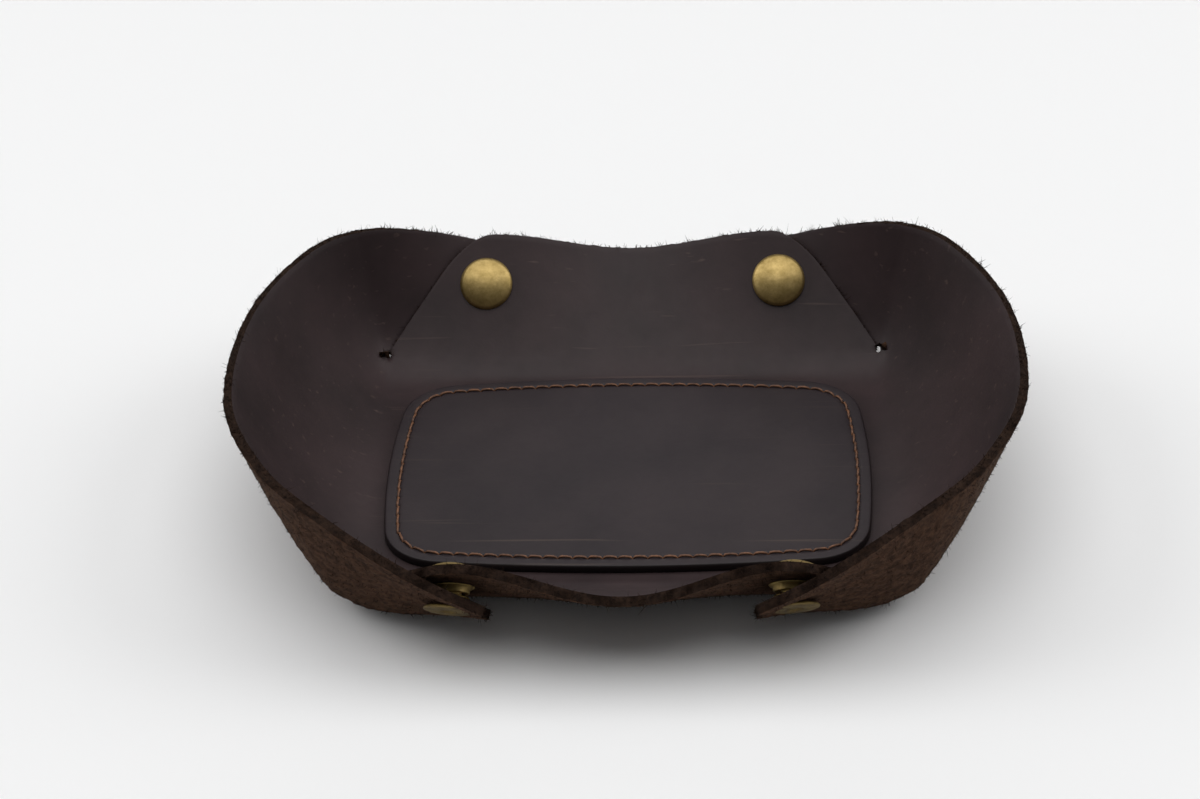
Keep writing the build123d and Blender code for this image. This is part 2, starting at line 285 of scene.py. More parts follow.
def waxed_thread():
    """Waxed sewing thread, a little uneven in colour."""
    material, tree, shader = new_material("waxed_thread")
    place = add(tree, "TexCoord", {}).outputs["Object"]
    uneven = add(tree, "TexNoise", {"Vector": place, "Scale": 1 / (1.3 * MM), "Detail": 3})
    share = add(tree, "MapRange", {"Value": uneven.outputs[0], 1: 0.3, 2: 0.7})
    color = add(
        tree,
        "Mix",
        {0: share.outputs[0], 6: linear("#4b3122"), 7: linear("#80563a")},
        data_type="RGBA",
    )
    tree.links.new(color.outputs[2], shader.inputs["Base Color"])
    shader.inputs["Roughness"].default_value = 0.55
    shader.inputs["IOR"].default_value = 1.5
    return material


def antique_brass(name, dark, light, roughness):
    """Darkened and tumbled brass: mottled, with a fine grain."""
    material, tree, shader = new_material(name)
    place = add(tree, "TexCoord", {}).outputs["Object"]
    patches = add(
        tree, "TexNoise", {"Vector": place, "Scale": 1 / brass_patch, "Detail": 6, "Roughness": 0.75}
    )
    share = add(tree, "MapRange", {"Value": patches.outputs[0], 1: 0.28, 2: 0.66})
    color = add(
        tree, "Mix", {0: share.outputs[0], 6: linear(dark), 7: linear(light)}, data_type="RGBA"
    )
    grain = add(tree, "TexNoise", {"Vector": place, "Scale": 1 / brass_grain, "Detail": 3})
    bump = add(
        tree, "Bump", {"Height": grain.outputs[0], "Strength": 0.5, "Distance": 0.05 * MM}
    )
    gloss = add(
        tree, "MapRange", {"Value": grain.outputs[0], 3: roughness - 0.1, 4: roughness + 0.12}
    )
    tree.links.new(color.outputs[2], shader.inputs["Base Color"])
    tree.links.new(gloss.outputs[0], shader.inputs["Roughness"])
    tree.links.new(bump.outputs[0], shader.inputs["Normal"])
    shader.inputs["Metallic"].default_value = 1
    return material


thread_finish = waxed_thread()
brass = antique_brass("antique_brass", "#9a834e", "#c6ac72", 0.48)
# A darker copy of the same brass: painted shade for the posts, which face down into shadow.
painted_shade_brass = antique_brass("brass_with_painted_shade", "#3a2f22", "#7a683f", 0.55)
print("materials", len(bpy.data.materials))

# %% [markdown]
# The tray's sheet, first its middle strip: rear panel, floor and front panel.
# A panel is a parabola in side view. Its top edge dips and leans outward at the middle,
# because only its ends are pulled in by the studs. The strip's grid narrows along the slits.
# The grid could be simulated from the flat cut, but the photograph fixes the folded shape,
# so the shape is written straight down.

# %% The middle strip of the sheet
leather_thickness = 2.0
fold_x = 55.0
floor_half_width = 37.6
hole_x = 58.5
hole_y = 44.5
hole_radius = 0.7
panel_rise, panel_reach, panel_bend = 25.0, 26.3, 6.8
dip_drop, dip_lean, dip_flat, dip_half_width = 6.2, 3.1, 1.0, 34.0
panel_corner_x = 39.0
panel_corner_reach = 7.0
panel_corner_cut = 1.2
grid_step = 1.3
notch_reach = 5.0


def panel_share(y):
    """Share of the panel's curve at a distance from the tray's middle line."""
    spread = panel_reach - 2 * panel_bend
    along = np.maximum(y - floor_half_width, 0)
    return (np.sqrt(panel_bend**2 + spread * along) - panel_bend) / spread


def panel_point(x, share):
    """Grain-side point of the rear panel."""
    dip = (1 + np.cos(np.pi * np.clip(np.abs(x) / dip_half_width, 0, 1))) / 2
    reach = panel_reach + dip * dip_lean
    bend = panel_bend - dip * dip_flat
    y = floor_half_width + 2 * share * (1 - share) * bend + share**2 * reach
    z = leather_thickness + share**2 * (panel_rise - dip * dip_drop)
    return np.stack([x, y, z], -1)


hole_share = panel_share(hole_y)
hole_z = leather_thickness + hole_share**2 * panel_rise
top_z = leather_thickness + panel_rise
slope_at_hole = (
    2 * hole_share * panel_rise
    / (2 * panel_bend + 2 * hole_share * (panel_reach - 2 * panel_bend))
)


def fold_line_x(y):
    """Half length of the floor, where the wing's curve begins."""
    return fold_x + (hole_x - fold_x) * smooth_step((y - hole_y / 2) / (hole_y / 2))


def hole_notch(offset):
    """How far the relief hole cuts into an edge that passes its middle."""
    return np.sqrt(np.maximum(hole_radius**2 - offset**2, 0))


fold_rows = np.concatenate(
    [
        np.linspace(0, hole_y - hole_radius, round(hole_y / grid_step)),
        hole_y - hole_radius * np.cos(np.linspace(0, np.pi, 7))[1:-1],
    ]
)
slit_shares = np.linspace(panel_share(hole_y + hole_radius), 1, 25)
strip_columns = np.linspace(-1, 1, 91)


def strip_rows():
    """Grid of the strip's rear half, from the middle of the floor to the panel's top edge."""
    rows = []
    for y in fold_rows:
        half = fold_line_x(min(y, hole_y))
        x = strip_columns * half
        inward = hole_notch(y - hole_y) * np.clip((np.abs(x) - half) / notch_reach + 1, 0, 1)
        x = x - np.sign(x) * inward
        point = panel_point(x, panel_share(y))
        point[:, 1] = np.where(y < floor_half_width, y, point[:, 1])
        rows.append(point)
    for share in slit_shares:
        z = leather_thickness + share**2 * panel_rise
        along = (z - hole_z) / (top_z - hole_z)
        half = hole_x + (panel_corner_x - hole_x) * along
        corner = np.clip(1 - (top_z - z) / panel_corner_reach, 0, 1)
        x = strip_columns * half
        near = np.clip(1 - (half - np.abs(x)) / panel_corner_reach, 0, 1)
        x = x - np.sign(x) * panel_corner_cut * corner**2 * near**2
        lowered = share - panel_corner_cut / (2 * panel_rise) * near**2 * corner**2
        rows.append(panel_point(x, lowered))
    return np.array(rows)


rear_half = strip_rows()
front_half = rear_half[:0:-1] * (1, -1, 1)
strip = np.concatenate([front_half, rear_half])
print("strip grid", strip.shape[:2])

# %% [markdown]
# Each wing is a second grid, between two rails. The foot rail follows the fold, passes the
# relief hole and runs out along the slit to the end of the tab. The lip rail follows the
# wing's cut edge. Their points are few and listed, and a smooth curve passes through them.

# %% The rails of a wing
lip_points = [
    (85.1, 0, 35.3),
    (82.2, 23.6, 35.6),
    (77.0, 36.1, 36.0),
    (69.7, 47.6, 35.6),
    (61.3, 55.0, 33.8),
    (52.2, 60.5, 30.4),
    (45.5, 63.7, 27.6),
    (36.6, 66.6, 23.6),
    (26.0, 67.9, 18.5),
]
slit_points = [
    (58.5, 44.5, hole_z),
    (54.5, 47.0, 4.9),
    (48.0, 50.0, 5.6),
    (41.2, 52.2, 6.9),
    (35.0, 54.2, 8.2),
    (26.0, 56.2, 8.2),
]
slit_length = 35.0
slit_columns = 30
lip_share_at_hole = 0.57


def wing_rails():
    """Rails of the right wing's rear half, and each point's share of the fold and of the slit."""
    fold_share = fold_rows / hole_y
    slit_share = np.linspace(0, 1, slit_columns + 1)[1:]
    lip_shares = np.concatenate(
        [
            fold_share * lip_share_at_hole,
            lip_share_at_hole + (1 - lip_share_at_hole) * slit_share,
        ]
    )
    mirrored = [(x, -y, z) for x, y, z in lip_points[:0:-1]]
    lip = curve_through(mirrored + lip_points, 0.5 + lip_shares / 2)
    fold_half = np.array([fold_line_x(y) for y in np.minimum(fold_rows, hole_y)])
    fold = panel_point(fold_half, panel_share(fold_rows))
    fold[:, 1] = np.where(fold_rows < floor_half_width, fold_rows, fold[:, 1])
    fold[:, 0] += hole_notch(fold_rows - hole_y)
    slit_start = hole_radius / slit_length
    slit = curve_through(slit_points, slit_start + (1 - slit_start) * slit_share)
    along_fold = np.concatenate([fold_share, np.ones(len(slit))])
    along_slit = np.concatenate([np.zeros(len(fold)), slit_share])
    return np.concatenate([fold, slit]), lip, along_fold, along_slit


foot_rail, lip_rail, along_fold, along_slit = wing_rails()
print("rails of", len(foot_rail), "points")

# %% [markdown]
# A curve joins each pair of points on the rails. At the fold it leaves along the floor, so that
# the two grids meet with no crease, and towards the tab it straightens. A flat cut that is bent
# by a simulation would crease by itself, but it wouldn't stop at the photographed edges.

# %% The wings between their rails
fold_bend_share = 0.48
hole_bend_share = 0.62
tab_bend_share = 0.5
slope_ease_share = 0.55
bend_smoothing_rounds = 50
wing_rows = 37
tab_corner_reach = 4.0
tab_corner_cut = 1.1
tab_end_columns = 6


def bend_points():
    """The middle control point of each curve between the rails."""
    outward = lip_rail - foot_rail
    reach = np.hypot(outward[:, 0], outward[:, 1])[:, None]
    direction = outward[:, :2] / reach
    panel_slope = np.interp(foot_rail[:, 1], [floor_half_width, hole_y], [0, slope_at_hole])
    fold_slope = panel_slope * direction[:, 1]
    chord_slope = outward[:, 2] / reach[:, 0]
    ease = smooth_step(along_slit / slope_ease_share)
    slope = fold_slope * (1 - ease) + chord_slope * ease
    share = fold_bend_share + (hole_bend_share - fold_bend_share) * smooth_step(along_fold)
    share = share + (tab_bend_share - share) * ease
    run = share[:, None] * reach
    bend = foot_rail + np.concatenate([direction * run, slope[:, None] * run], 1)
    for _ in range(bend_smoothing_rounds):
        ends = np.concatenate([bend[1:2] * (1, -1, 1), bend, bend[-1:]])
        bend = (ends[:-2] + 2 * ends[1:-1] + ends[2:]) / 4
    return bend


def tab_rounding(grid, across):
    """How far each point moves when the tab's two corners are rounded."""
    column = 1 - np.clip((1 - along_slit)[:, None] * slit_length / tab_corner_reach, 0, 1)
    height = np.linalg.norm(grid[:, -1] - grid[:, 0], axis=1)[:, None]
    to_edge = height * np.minimum(across, 1 - across)
    row = 1 - np.clip(to_edge / tab_corner_reach, 0, 1)
    rounding = (tab_corner_cut * column**2 * row**2)[..., None]
    back = grid[-tab_end_columns] - grid[-1]
    back = back / np.linalg.norm(back, axis=-1, keepdims=True)
    middle = grid[:, wing_rows // 2][:, None] - grid
    middle = middle / np.maximum(np.linalg.norm(middle, axis=-1, keepdims=True), 1e-9)
    return rounding * (back[None] + middle)


def wing_half():
    """Grid of the rear half of the right wing, one column for each step along its rails."""
    foot, bend, lip = (rail[:, None] for rail in (foot_rail, bend_points(), lip_rail))
    t = np.linspace(0, 1, wing_rows)[None, :, None]
    grid = (1 - t) ** 2 * foot + 2 * t * (1 - t) * bend + t**2 * lip
    return grid + tab_rounding(grid, t[..., 0])


right_half = wing_half()
right_wing = np.concatenate([right_half[:0:-1] * (1, -1, 1), right_half])
left_wing = right_wing[::-1] * (-1, 1, 1)
print("wing grid", right_wing.shape[:2])

# %% [markdown]
# The pad and the seam share one outline, a rounded rectangle whose sides bow outward a little:
# four flat arcs and four corner arcs. It comes before the sheet, because the seam's lower thread
# lies in a groove cut into the sheet's flesh side.

# %% Outline of the pad and its seam
pad_half_length, pad_half_width = 54.3, 35.8
pad_side_bow, pad_end_bow = 3.3, 2.7
pad_corner_radius = 13.0
seam_inset = 3.0
stitch_count = 95
steps_per_stitch = 12


def pad_outline(count):
    """Points of the pad's outline and their outward directions, evenly spaced along the seam."""
    corner = np.array((pad_half_length - pad_end_bow, pad_half_width - pad_side_bow))
    side_radius = (corner[0] ** 2 + pad_side_bow**2) / (2 * pad_side_bow)
    end_radius = (corner[1] ** 2 + pad_end_bow**2) / (2 * pad_end_bow)
    side_middle = np.array((0, pad_half_width - side_radius))
    end_middle = np.array((pad_half_length - end_radius, 0))
    # The corner arc's middle lies on a circle about each of the two long arcs' middles
    apart = end_middle - side_middle
    distance = np.linalg.norm(apart)
    first, second = side_radius - pad_corner_radius, end_radius - pad_corner_radius
    along = (first**2 - second**2 + distance**2) / (2 * distance)
    across = math.sqrt(first**2 - along**2)
    unit = apart / distance
    corner_middle = side_middle + unit * along + np.array((unit[1], -unit[0])) * across
    side_turn = math.atan2(*(corner_middle - side_middle))
    end_turn = math.atan2(*(corner_middle - end_middle))
    quarter = []
    for middle, radius, start, end in (
        (side_middle, side_radius, 0, side_turn),
        (corner_middle, pad_corner_radius, side_turn, end_turn),
        (end_middle, end_radius, end_turn, math.pi / 2),
    ):
        turns = np.linspace(start, end, 400)
        out = np.stack([np.sin(turns), np.cos(turns)], 1)
        quarter.append(np.concatenate([middle + out * radius, out], 1))
    quarter = np.concatenate(quarter)
    flip_x, flip_y = np.array((-1, 1, -1, 1)), np.array((1, -1, 1, -1))
    loop = np.concatenate(
        [quarter, quarter[::-1] * flip_y, quarter * flip_x * flip_y, quarter[::-1] * flip_x]
    )
    seam = loop[:, :2] - loop[:, 2:] * seam_inset
    steps = np.linalg.norm(np.diff(seam, axis=0, append=seam[:1]), axis=1)
    length = np.concatenate([[0], np.cumsum(steps)])
    wanted = np.arange(count) / count * length[-1]
    loop = np.concatenate([loop, loop[:1]])
    found = np.stack([np.interp(wanted, length, loop[:, axis]) for axis in range(4)], 1)
    found[:, 2:] /= np.linalg.norm(found[:, 2:], axis=1, keepdims=True)
    return found[:, :2], found[:, 2:], length[-1]


outline, outline_out, seam_length = pad_outline(stitch_count * steps_per_stitch)
print("seam", round(seam_length, 1), "mm, pitch", round(seam_length / stitch_count, 2), "mm")

# %% [markdown]
# The grids are joined where they share the fold, and each face is marked with the corner flap
# that it belongs to. Round the relief holes the grids meet at an angle, so there they are eased
# into one surface. A gentle, large unevenness follows: no hide is a perfect surface.

# %% Join the grids into one sheet
weld_distance = 0.02
unevenness = 0.22
unevenness_size = 17.0
unevenness_rise = 6.0
flat_end_margin, flat_side_margin = 5.0, 1.0
flap_columns = 18
corner_marks = {"rear_right": 1, "rear_left": 2, "front_right": 3, "front_left": 4}
corner_smoothing = np.linspace(20, 7, 26)


def uneven(points):
    """A smooth, small and repeatable unevenness for each point, in millimetres."""
    x, y, z = (points / unevenness_size).T
    waves = np.sin(1.3 * x + 0.7 * y + 1) + np.sin(-0.8 * x + 1.7 * y + 1.1 * z)
    return unevenness / 3 * (waves + np.sin(2.3 * x - 1.9 * z + 2) * np.sin(1.9 * y + x))


def hole_middle_of(point):
    """Middle of the relief hole on a point's own side of the tray."""
    return Vector((math.copysign(hole_x, point.x), math.copysign(hole_y, point.y), hole_z))


def flap_marks(face_count):
    """The corner mark of each face of the joined grids: 0 for the tray, 1 to 4 for the flaps."""
    marks = np.zeros(face_count, int)
    wing_start = (strip.shape[0] - 1) * (strip.shape[1] - 1)
    wing_faces = (right_wing.shape[0] - 1, right_wing.shape[1] - 1)
    right_marks = marks[wing_start : wing_start + wing_faces[0] * wing_faces[1]]
    left_marks = marks[wing_start + wing_faces[0] * wing_faces[1] :]
    flap_faces = flap_columns * wing_faces[1]
    right_marks[:flap_faces] = corner_marks["front_right"]
    right_marks[-flap_faces:] = corner_marks["rear_right"]
    left_marks[:flap_faces] = corner_marks["rear_left"]
    left_marks[-flap_faces:] = corner_marks["front_left"]
    return marks


def ease_corners(mesh):
    """Smooth the mesh round the relief holes, in circles that shrink."""
    for radius in corner_smoothing:
        near = [
            vertex
            for vertex in mesh.verts
            if not vertex.is_boundary
            and (vertex.co / MM - hole_middle_of(vertex.co)).length < radius
        ]
        bmesh.ops.smooth_vert(
            mesh, verts=near, factor=0.5, use_axis_x=True, use_axis_y=True, use_axis_z=True
        )
    mesh.normal_update()


def add_unevenness(mesh):
    """Push the mesh in and out a little, everywhere but on the flat floor."""
    for vertex in mesh.verts:
        x, y, z = point = np.array(vertex.co) / MM
        on_floor = abs(x) < fold_x - flat_end_margin and abs(y) < floor_half_width - flat_side_margin
        if not on_floor:
            fade = smooth_step((z - leather_thickness) / unevenness_rise)
            vertex.co += vertex.normal * float(uneven(point[None])[0] * fade) * MM


def joined_sheet():
    """The grain side of the whole sheet as one surface."""
    points = []
    faces = []
    for grid, flip in ((strip, True), (right_wing, False), (left_wing, False)):
        start = sum(len(part) for part in points)
        quads = grid_faces(grid.shape[0], grid.shape[1], start)
        faces += [quad[::-1] for quad in quads] if flip else quads
        points.append(grid.reshape(-1, 3))
    sheet = make_object("sheet", np.concatenate(points), faces, [sheet_grain, suede, cut_hide])
    marks = sheet.data.attributes.new("flap", "INT", "FACE")
    marks.data.foreach_set("value", flap_marks(len(faces)))
    mesh = bmesh.new()
    mesh.from_mesh(sheet.data)
    bmesh.ops.remove_doubles(mesh, verts=mesh.verts, dist=weld_distance * MM)
    bmesh.ops.recalc_face_normals(mesh, faces=mesh.faces)
    if sum(face.normal.z for face in mesh.faces) < 0:
        bmesh.ops.reverse_faces(mesh, faces=mesh.faces)
    ease_corners(mesh)
    add_unevenness(mesh)
    mesh.to_mesh(sheet.data)
    mesh.free()
    return sheet


whole_sheet = joined_sheet()
print("grain side", len(whole_sheet.data.polygons), "faces")

# %% [markdown]
# Solidify gives the leather its thickness on the flesh side, a Boolean cuts the groove of the
# lower thread, and Bevel rounds the cut edges, as a knife and handling do. Cutting the groove
# into the grid by hand would need much finer squares all over the floor.

# %% Thickness, groove and rounded edges
suede_slot, edge_slot = 1, 2
edge_bevel = 0.28
bevel_angle = 55
groove_width, groove_depth, groove_overrun = 1.2, 0.6, 1
groove_step = 6


def groove_cutter():
    """A square ring along the seam that cuts the groove of the lower thread."""
    inner = outline - outline_out * (seam_inset + groove_width / 2)
    outer = outline - outline_out * (seam_inset - groove_width / 2)
    rings = [
        np.column_stack([flat, np.full(len(flat), z)])[::groove_step]
        for flat, z in (
            (inner, -groove_overrun),
            (outer, -groove_overrun),
            (outer, groove_depth),
            (inner, groove_depth),
        )
    ]
    # The ring after the last one is the first again
    count = len(rings[0])
    faces = grid_faces(len(rings) + 1, count, wrap=True)
    faces = [tuple(corner % (len(rings) * count) for corner in face) for face in faces]
    ring = make_object("groove_cutter", np.concatenate(rings), faces, [sheet_grain, suede, cut_hide])
    for face in ring.data.polygons:
        face.material_index = edge_slot
    mesh = bmesh.new()
    mesh.from_mesh(ring.data)
    bmesh.ops.recalc_face_normals(mesh, faces=mesh.faces)
    mesh.to_mesh(ring.data)
    mesh.free()
    return ring


def thicken(sheet):
    """Give the sheet its thickness, its groove and its rounded edges."""
    solid = sheet.modifiers.new("thickness", "SOLIDIFY")
    solid.thickness = leather_thickness * MM
    solid.offset = -1
    solid.material_offset = suede_slot
    solid.material_offset_rim = edge_slot
    cutter = groove_cutter()
    groove = sheet.modifiers.new("groove", "BOOLEAN")
    groove.operation = "DIFFERENCE"
    groove.solver = "EXACT"
    groove.object = cutter
    rounded = sheet.modifiers.new("edges", "BEVEL")
    rounded.width = edge_bevel * MM
    rounded.segments = 2
    rounded.limit_method = "ANGLE"
    rounded.angle_limit = math.radians(bevel_angle)
    apply_modifiers(sheet)
    bpy.data.objects.remove(cutter)


thicken(whole_sheet)
print("thick sheet", len(whole_sheet.data.polygons), "faces")

# %% [markdown]
# The flesh side and the cut edges are rough, so their points are pushed in and out at random.
# The grain side and the flat rest face stay smooth. A bump pattern roughens a surface too, but
# it leaves the outline straight, and the outline is where roughness shows first.

# %% Roughen the flesh side and the cut edges
hide_roughness = 0.09


def roughen(mesh):
    """Push each point that touches no grain side and lies above the floor in or out a little."""
    grain = {v for face in mesh.polygons if face.material_index == 0 for v in face.vertices}
    hide = {v for face in mesh.polygons if face.material_index for v in face.vertices}
    rough = [v for v in sorted(hide - grain) if mesh.vertices[v].co.z > leather_thickness * MM]
    normals = [mesh.vertices[v].normal.copy() for v in rough]
    for index, normal in zip(rough, normals):
        mesh.vertices[index].co += normal * float(random.normal(0, hide_roughness)) * MM
    return len(rough)


print("roughened", roughen(whole_sheet.data), "points")

# %% [markdown]
# The corner tabs have to move with the studs. The sheet is cut a little before each tab, and
# the cut-off piece becomes an object of its own. Its normals are copied from the whole
# sheet, so the cut doesn't show.

# %% Split the sheet at its four flaps
corners = {
    "rear_right": (1, 1),
    "rear_left": (-1, 1),
    "front_right": (1, -1),
    "front_left": (-1, -1),
}


def cut_piece(name, mark):
    """A copy of the faces that have a mark, with the whole sheet's normals."""
    source = whole_sheet.data
    normals = np.zeros(len(source.vertices) * 3, np.float32)
    source.vertex_normals.foreach_get("vector", normals)
    normals = normals.reshape(-1, 3)
    marks = source.attributes["flap"].data
    kept = [face for face in source.polygons if marks[face.index].value == mark]
    used = sorted({vertex for face in kept for vertex in face.vertices})
    place = {vertex: index for index, vertex in enumerate(used)}
    points = np.array([source.vertices[vertex].co for vertex in used]) / MM
    faces = [[place[vertex] for vertex in face.vertices] for face in kept]
    piece = make_object(name, points, faces, [sheet_grain, suede, cut_hide])
    piece.data.polygons.foreach_set("material_index", [face.material_index for face in kept])
    piece.data.normals_split_custom_set_from_vertices(normals[used].tolist())
    return piece


flap_leathers = {}
for corner in corners:
    piece = cut_piece(corner + "_tab_leather", corner_marks[corner])
    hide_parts(corner + "_tab")
    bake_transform(piece)
    flap_leathers[corner] = piece
    print(piece.name, len(piece.data.polygons), "faces")

tray_leather = cut_piece("tray_leather", 0)
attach(tray_leather, "tray")
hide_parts("leather_body")
bpy.data.objects.remove(whole_sheet)
print(tray_leather.name, len(tray_leather.data.polygons), "faces")

# %% [markdown]
# Rings of points follow the pad's outline inward. They crowd together at the seam,
# where the thread pulls the leather down and the needle has left a pit at each stitch.

# %% The pad
pad_top = 4.0
pad_underside = 2.02
pad_edge_round = 0.55
burnished_rings = 3
seam_sink, seam_sink_width = 0.17, 0.75
pit_depth, pit_radius = 0.6, 0.36
fine_insets = [0, 0.1, 0.25, 0.45, 0.8, 1.3, 1.8, 2.15, 2.4, 2.55, 2.7, 2.85, 3.0]
fine_insets += [3.15, 3.3, 3.45, 3.6, 3.85, 4.2, 4.8, 5.8, 7.2, 9.0]
inner_shares = [0.86, 0.74, 0.62, 0.5, 0.38, 0.26, 0.14, 0.05]


def pad_height(inset, step):
    """Height of the pad's grain side, by its distance from the edge and its step along the seam."""
    rounding = pad_edge_round * (1 - np.sqrt(1 - np.clip(1 - inset / pad_edge_round, 0, 1) ** 2))
    sink = seam_sink * np.exp(-(((inset - seam_inset) / seam_sink_width) ** 2))
    stitch_step = seam_length / (stitch_count * steps_per_stitch)
    to_pit = (step + steps_per_stitch / 2) % steps_per_stitch - steps_per_stitch / 2
    from_pit = np.hypot(to_pit * stitch_step, inset - seam_inset)
    pit = pit_depth * np.exp(-((from_pit / pit_radius) ** 2))
    return pad_top - rounding - sink - pit


def leather_pad():
    """The sewn pad, with its burnished edge."""
    count = len(outline)
    step = np.arange(count)
    rings = [np.column_stack([outline, np.full(count, pad_underside)])]
    for inset in fine_insets:
        flat = outline - outline_out * inset
        rings.append(np.column_stack([flat, pad_height(inset, step) * np.ones(count)]))
    for share in inner_shares:
        flat = (outline - outline_out * fine_insets[-1]) * share
        rings.append(np.column_stack([flat, np.full(count, pad_top)]))
    points = np.concatenate(rings)
    faces = grid_faces(len(rings), count, wrap=True)
    top_middle = len(points)
    points = np.concatenate([points, [(0, 0, pad_top), (0, 0, pad_underside)]])
    last = (len(rings) - 1) * count
    for index in range(count):
        after = (index + 1) % count
        faces.append((last + index, last + after, top_middle))
        faces.append((after, index, top_middle + 1))
    pad = make_object("pad_leather", points, faces, [pad_grain, burnished_edge])
    for face in pad.data.polygons[: count * burnished_rings]:
        face.material_index = 1
    mesh = bmesh.new()
    mesh.from_mesh(pad.data)
    bmesh.ops.recalc_face_normals(mesh, faces=mesh.faces)
    mesh.to_mesh(pad.data)
    mesh.free()
    return pad


pad = leather_pad()
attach(pad, "tray")
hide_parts("base_pad")
print(pad.name, len(pad.data.polygons), "faces")

# %% [markdown]
# A machine seam is a lockstitch: the needle thread shows on top, the bobbin thread below, and
# the two lock together inside the leather. Each visible stitch rises out of one pit and dives
# into the next. The thread is three plies twisted together, so its section is a clover leaf
# that turns as it goes. A round tube would be lighter, but close views would show the lie.

# %% The two threads of the seam
thread_radius = 0.28
ply_depth = 0.22
twist_pitch = 1.5
thread_sides = 12
thread_rings = 11
stitch_slant = 0.12
stitch_wander = 0.03
needle_height, needle_rise, needle_dive = pad_top - 0.12, 0.3, 0.45
bobbin_height, bobbin_rise, bobbin_dive = 0.5, -0.2, -0.3


def stitch_rows(name, height, rise, dive):
    """A row of stitches round the pad, at a height, rising and diving by the given amounts."""
    points = []
    faces = []
    share = np.linspace(0, 1, thread_rings)
    around = np.linspace(0, 2 * np.pi, thread_sides, endpoint=False)
    length = seam_length / stitch_count
    for stitch in range(stitch_count):
        first = stitch * steps_per_stitch
        steps = first + share * steps_per_stitch
        low = np.floor(steps).astype(int)
        part = (steps - low)[:, None]
        spot = low % len(outline), (low + 1) % len(outline)
        flat = outline[spot[0]] * (1 - part) + outline[spot[1]] * part
        out = outline_out[spot[0]] * (1 - part) + outline_out[spot[1]] * part
        wander = random.normal(0, stitch_wander)
        slant = stitch_slant * (2 * share - 1)[:, None] + wander
        line = flat - out * (seam_inset + slant)
        lift = rise * np.sin(np.pi * share) ** 0.55 - dive * (np.abs(2 * share - 1) ** 7)
        middle = np.column_stack([line, height + lift])
        twist = 2 * np.pi * share * length / twist_pitch + random.uniform(0, 6)
        lobes = 1 - ply_depth * (0.5 - 0.5 * np.cos(3 * (around[None] + twist[:, None])))
        radius = thread_radius * lobes * (1 + random.normal(0, 0.03))
        sideways = np.column_stack([out, np.zeros(len(out))])
        ring = (
            middle[:, None]
            + sideways[:, None] * (np.cos(around) * radius)[..., None]
            + np.array((0, 0, 1)) * (np.sin(around) * radius)[..., None]
        )
        start = len(points) * thread_rings * thread_sides
        faces += grid_faces(thread_rings, thread_sides, start, wrap=True)
        end = start + (thread_rings - 1) * thread_sides
        faces.append(tuple(range(start, start + thread_sides))[::-1])
        faces.append(tuple(range(end, end + thread_sides)))
        points.append(ring)
    made = make_object(name, np.array(points), faces, [thread_finish])
    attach(made, "tray")
    return made


needle_row = stitch_rows("needle_thread_stitches", needle_height, needle_rise, needle_dive)
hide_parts("needle_thread")
bobbin_row = stitch_rows("bobbin_thread_stitches", bobbin_height, bobbin_rise, bobbin_dive)
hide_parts("bobbin_thread")
print("stitches", stitch_count, "on each side")

# %% [markdown]
# Press studs are pressed from sheet brass, so each piece is a turned shape: a profile spun
# round the snap's axis. Screw or a curve's bevel could spin it, and a short loop does the same.
# The cap's dome is a shallow cone with a soft tip and a rolled rim, as the photograph shows it.

# %% Frames of the snaps
snap_x, snap_height = 35.0, 15.7
panel_to_tab = 2.5
tab_tilt = math.radians(5)
profile_sides = 72
snap_share = math.sqrt(snap_height / panel_rise)
snap_seat = np.append(snap_x, panel_point(np.array([snap_x]), snap_share)[0, 1:])
snap_up = np.array(
    (0, (1 - snap_share) * panel_bend + snap_share * (panel_reach - panel_bend), snap_share * panel_rise)
)
snap_up = snap_up / np.linalg.norm(snap_up)
snap_out = np.cross(snap_up, (1, 0, 0))
stud_seat = snap_seat + snap_out * (leather_thickness + panel_to_tab)
stud_out = snap_out * math.cos(tab_tilt) + np.array((1, 0, 0)) * math.sin(tab_tilt)


def rounded_profile(points, per_span=6):
    """A soft curve through profile points (radius, height)."""
    spread = np.array([(x, 0, z) for x, z in points], float)
    shares = np.linspace(0, 1, (len(points) - 1) * per_span + 1)
    return curve_through(spread, shares)[:, [0, 2]]


def turned(name, profile, seat, axis, sides, body, node):
    """A brass piece, its profile turned about an axis that leaves a seat outward."""
    profile = np.array(profile, float)
    side = np.array((1.0, 0, 0))
    side = side - axis * side.dot(axis)
    side = side / np.linalg.norm(side)
    other = np.cross(axis, side)
    turns = np.linspace(0, 2 * np.pi, profile_sides, endpoint=False)
    around = np.cos(turns)[:, None] * side + np.sin(turns)[:, None] * other
    points = seat + profile[:, None, :1] * around[None] + profile[:, None, 1:] * axis
    points = points * (sides[0], sides[1], 1)
    faces = grid_faces(len(profile), profile_sides, wrap=True)
    # Posts take the darker brass, painted shade for where they sit.
    made = make_object(name, points, faces, [painted_shade_brass if "post" in name else brass])
    mesh = bmesh.new()
    mesh.from_mesh(made.data)
    bmesh.ops.remove_doubles(mesh, verts=mesh.verts, dist=0.01 * MM)
    bmesh.ops.holes_fill(mesh, edges=mesh.edges)
    bmesh.ops.recalc_face_normals(mesh, faces=mesh.faces)
    mesh.to_mesh(made.data)
    mesh.free()
    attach(made, body)
    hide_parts(node)
    return made


